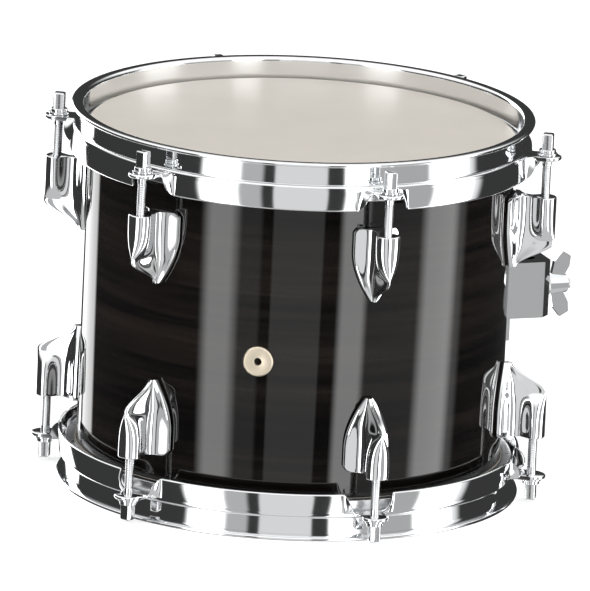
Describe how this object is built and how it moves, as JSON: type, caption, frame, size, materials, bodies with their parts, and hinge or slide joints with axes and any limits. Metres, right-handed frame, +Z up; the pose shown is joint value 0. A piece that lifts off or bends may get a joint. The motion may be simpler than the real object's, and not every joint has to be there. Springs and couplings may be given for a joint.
{
  "type": "concert tom",
  "caption": "Short cylindrical double-headed drum with triple-flange counterhoops, separate lugs, tension rods, a vent and a side mounting bracket.",
  "frame": {"origin": "on the drum's axis, in the plane of the lower rim", "axes": "+Z up along the drum's axis towards the batter head, -Y towards the vent, +X through a pair of lugs on the bracket's side"},
  "size_m": [0.309, 0.274, 0.2276],
  "materials": {
    "lacquer": "transparent black gloss lacquer on maple",
    "chrome": "polished",
    "zinc": "zinc plated",
    "film": "coated polyester",
    "aluminium": "satin",
    "brass": "polished",
    "rubber": "matte"
  },
  "bodies": {
    "drum": {"shell": "lacquer", "batter_film": "film", "batter_flesh_hoop": "aluminium", "vent_eyelet": "brass", "vent_lock_ring": "brass", "bracket_body": "chrome", "bracket_gasket": "rubber", "bracket_backing_plate": "zinc", "bracket_washer": "zinc", "bracket_screw_1": "zinc", "bracket_screw_2": "zinc", "bracket_screw_3": "zinc", "bracket_screw_4": "zinc", "batter_lug_1": "chrome", "batter_lug_2": "chrome", "batter_lug_3": "chrome", "batter_lug_4": "chrome", "batter_lug_5": "chrome", "batter_lug_6": "chrome", "batter_lug_gasket_1": "rubber", "batter_lug_gasket_2": "rubber", "batter_lug_gasket_3": "rubber", "batter_lug_gasket_4": "rubber", "batter_lug_gasket_5": "rubber", "batter_lug_gasket_6": "rubber", "resonant_lug_1": "chrome", "resonant_lug_2": "chrome", "resonant_lug_3": "chrome", "resonant_lug_4": "chrome", "resonant_lug_5": "chrome", "resonant_lug_6": "chrome", "resonant_lug_gasket_1": "rubber", "resonant_lug_gasket_2": "rubber", "resonant_lug_gasket_3": "rubber", "resonant_lug_gasket_4": "rubber", "resonant_lug_gasket_5": "rubber", "resonant_lug_gasket_6": "rubber"},
    "batter_hoop": {"batter_hoop": "chrome"},
    "batter_rod_1": {"batter_rod_1": "chrome"},
    "batter_rod_2": {"batter_rod_2": "chrome"},
    "batter_rod_3": {"batter_rod_3": "chrome"},
    "batter_rod_4": {"batter_rod_4": "chrome"},
    "batter_rod_5": {"batter_rod_5": "chrome"},
    "batter_rod_6": {"batter_rod_6": "chrome"},
    "resonant_hoop": {"resonant_hoop": "chrome", "resonant_film": "film", "resonant_flesh_hoop": "aluminium"},
    "resonant_rod_1": {"resonant_rod_1": "chrome"},
    "resonant_rod_2": {"resonant_rod_2": "chrome"},
    "resonant_rod_3": {"resonant_rod_3": "chrome"},
    "resonant_rod_4": {"resonant_rod_4": "chrome"},
    "resonant_rod_5": {"resonant_rod_5": "chrome"},
    "resonant_rod_6": {"resonant_rod_6": "chrome"},
    "eyebolt": {"bracket_eyebolt": "zinc"},
    "wing_nut": {"bracket_wing_nut": "chrome"}
  },
  "joints": [
    {"name": "batter_hoop_lift", "type": "slide", "parent": "drum", "child": "batter_hoop", "axis": [0, 0, 1], "range_m": [0, 0.004]},
    {"name": "batter_rod_1_turn", "type": "hinge", "parent": "batter_hoop", "child": "batter_rod_1", "pos_m": [0.07325, -0.12687, 0.2109], "axis": [0, 0, 1], "range_deg": [0, 1363]},
    {"name": "batter_rod_2_turn", "type": "hinge", "parent": "batter_hoop", "child": "batter_rod_2", "pos_m": [0.1465, 0, 0.2109], "axis": [0, 0, 1], "range_deg": [0, 1363]},
    {"name": "batter_rod_3_turn", "type": "hinge", "parent": "batter_hoop", "child": "batter_rod_3", "pos_m": [0.07325, 0.12687, 0.2109], "axis": [0, 0, 1], "range_deg": [0, 1363]},
    {"name": "batter_rod_4_turn", "type": "hinge", "parent": "batter_hoop", "child": "batter_rod_4", "pos_m": [-0.07325, 0.12687, 0.2109], "axis": [0, 0, 1], "range_deg": [0, 1363]},
    {"name": "batter_rod_5_turn", "type": "hinge", "parent": "batter_hoop", "child": "batter_rod_5", "pos_m": [-0.1465, 0, 0.2109], "axis": [0, 0, 1], "range_deg": [0, 1363]},
    {"name": "batter_rod_6_turn", "type": "hinge", "parent": "batter_hoop", "child": "batter_rod_6", "pos_m": [-0.07325, -0.12687, 0.2109], "axis": [0, 0, 1], "range_deg": [0, 1363]},
    {"name": "resonant_hoop_lift", "type": "slide", "parent": "drum", "child": "resonant_hoop", "axis": [0, 0, -1], "range_m": [0, 0.004]},
    {"name": "resonant_rod_1_turn", "type": "hinge", "parent": "resonant_hoop", "child": "resonant_rod_1", "pos_m": [0.07325, 0.12687, 0.0167], "axis": [0, 0, -1], "range_deg": [0, 1363]},
    {"name": "resonant_rod_2_turn", "type": "hinge", "parent": "resonant_hoop", "child": "resonant_rod_2", "pos_m": [0.1465, 0, 0.0167], "axis": [0, 0, -1], "range_deg": [0, 1363]},
    {"name": "resonant_rod_3_turn", "type": "hinge", "parent": "resonant_hoop", "child": "resonant_rod_3", "pos_m": [0.07325, -0.12687, 0.0167], "axis": [0, 0, -1], "range_deg": [0, 1363]},
    {"name": "resonant_rod_4_turn", "type": "hinge", "parent": "resonant_hoop", "child": "resonant_rod_4", "pos_m": [-0.07325, -0.12687, 0.0167], "axis": [0, 0, -1], "range_deg": [0, 1363]},
    {"name": "resonant_rod_5_turn", "type": "hinge", "parent": "resonant_hoop", "child": "resonant_rod_5", "pos_m": [-0.1465, 0, 0.0167], "axis": [0, 0, -1], "range_deg": [0, 1363]},
    {"name": "resonant_rod_6_turn", "type": "hinge", "parent": "resonant_hoop", "child": "resonant_rod_6", "pos_m": [-0.07325, 0.12687, 0.0167], "axis": [0, 0, -1], "range_deg": [0, 1363]},
    {"name": "wing_nut_turn", "type": "hinge", "parent": "drum", "child": "wing_nut", "pos_m": [0.13856, 0.08, 0.1138], "axis": [0.866, 0.5, 0], "range_deg": [-540, 0]},
    {"name": "eyebolt_draw", "type": "slide", "parent": "drum", "child": "eyebolt", "axis": [0.866, 0.5, 0], "range_m": [0, 0.00151]}
  ],
  "couplings": [
    {"joint": "batter_rod_1_turn", "follows": "batter_hoop_lift", "rad_per_m": 5938.7},
    {"joint": "batter_rod_2_turn", "follows": "batter_hoop_lift", "rad_per_m": 5938.7},
    {"joint": "batter_rod_3_turn", "follows": "batter_hoop_lift", "rad_per_m": 5938.7},
    {"joint": "batter_rod_4_turn", "follows": "batter_hoop_lift", "rad_per_m": 5938.7},
    {"joint": "batter_rod_5_turn", "follows": "batter_hoop_lift", "rad_per_m": 5938.7},
    {"joint": "batter_rod_6_turn", "follows": "batter_hoop_lift", "rad_per_m": 5938.7},
    {"joint": "resonant_rod_1_turn", "follows": "resonant_hoop_lift", "rad_per_m": 5938.7},
    {"joint": "resonant_rod_2_turn", "follows": "resonant_hoop_lift", "rad_per_m": 5938.7},
    {"joint": "resonant_rod_3_turn", "follows": "resonant_hoop_lift", "rad_per_m": 5938.7},
    {"joint": "resonant_rod_4_turn", "follows": "resonant_hoop_lift", "rad_per_m": 5938.7},
    {"joint": "resonant_rod_5_turn", "follows": "resonant_hoop_lift", "rad_per_m": 5938.7},
    {"joint": "resonant_rod_6_turn", "follows": "resonant_hoop_lift", "rad_per_m": 5938.7},
    {"joint": "eyebolt_draw", "follows": "wing_nut_turn", "m_per_rad": -0.00015915}
  ]
}
